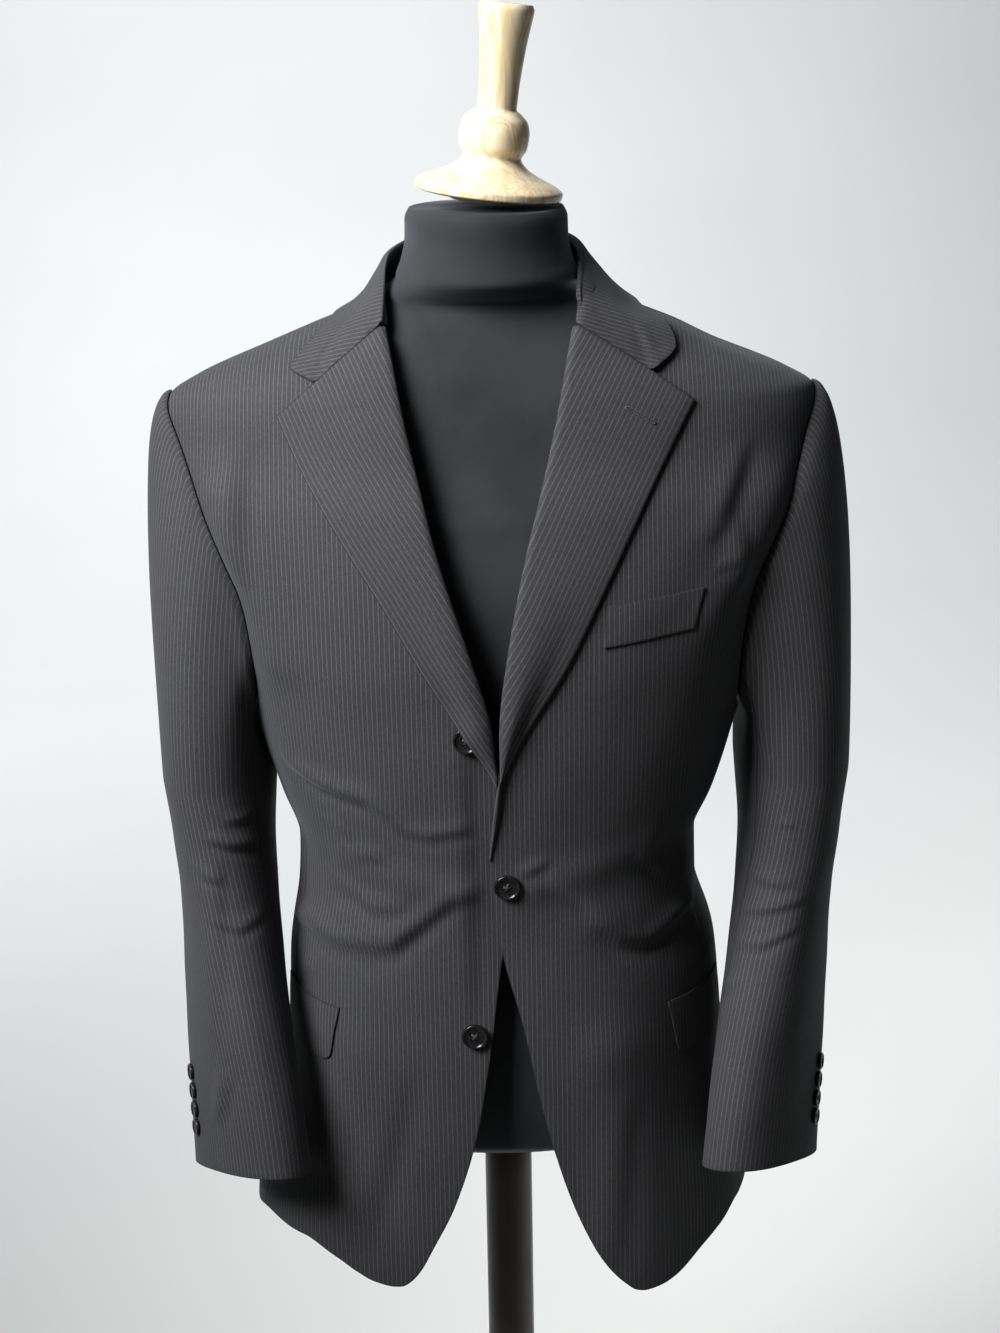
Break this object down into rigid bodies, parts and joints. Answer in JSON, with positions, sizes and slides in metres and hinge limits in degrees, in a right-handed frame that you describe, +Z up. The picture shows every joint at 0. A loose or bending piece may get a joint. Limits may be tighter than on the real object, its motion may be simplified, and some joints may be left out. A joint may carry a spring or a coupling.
{
  "type": "two-piece suit jacket on a dress form",
  "caption": "Man's single-breasted pinstripe suit jacket with notched lapels, buttoned on a black dress form with a turned wood neck cap and a round-based stand.",
  "frame": {"origin": "middle of the stand's base, on its underside", "axes": "+Z up, -Y towards the jacket's front, +X towards the wearer's left"},
  "size_m": [0.542, 0.35, 1.6773],
  "materials": {
    "charcoal_suiting": "woven wool, fine pale pinstripe",
    "button": "polished",
    "form_cloth": "matte jersey",
    "pale_wood": "varnished",
    "dark_wood": "stained, satin"
  },
  "bodies": {
    "root": {"back_left": "charcoal_suiting", "back_right": "charcoal_suiting", "breast_welt": "charcoal_suiting", "button_bottom": "button", "button_middle": "button", "button_top": "button", "collar": "charcoal_suiting", "cuff_button_left_1": "button", "cuff_button_left_2": "button", "cuff_button_left_3": "button", "cuff_button_left_4": "button", "cuff_button_right_1": "button", "cuff_button_right_2": "button", "cuff_button_right_3": "button", "cuff_button_right_4": "button", "form_torso": "form_cloth", "front_left": "charcoal_suiting", "front_right": "charcoal_suiting", "hip_flap_left": "charcoal_suiting", "hip_flap_right": "charcoal_suiting", "lapel_left": "charcoal_suiting", "lapel_right": "charcoal_suiting", "neck_cap": "pale_wood", "side_panel_left": "charcoal_suiting", "side_panel_right": "charcoal_suiting", "stand": "dark_wood", "top_sleeve_left": "charcoal_suiting", "top_sleeve_right": "charcoal_suiting", "under_sleeve_left": "charcoal_suiting", "under_sleeve_right": "charcoal_suiting"}
  },
  "joints": []
}
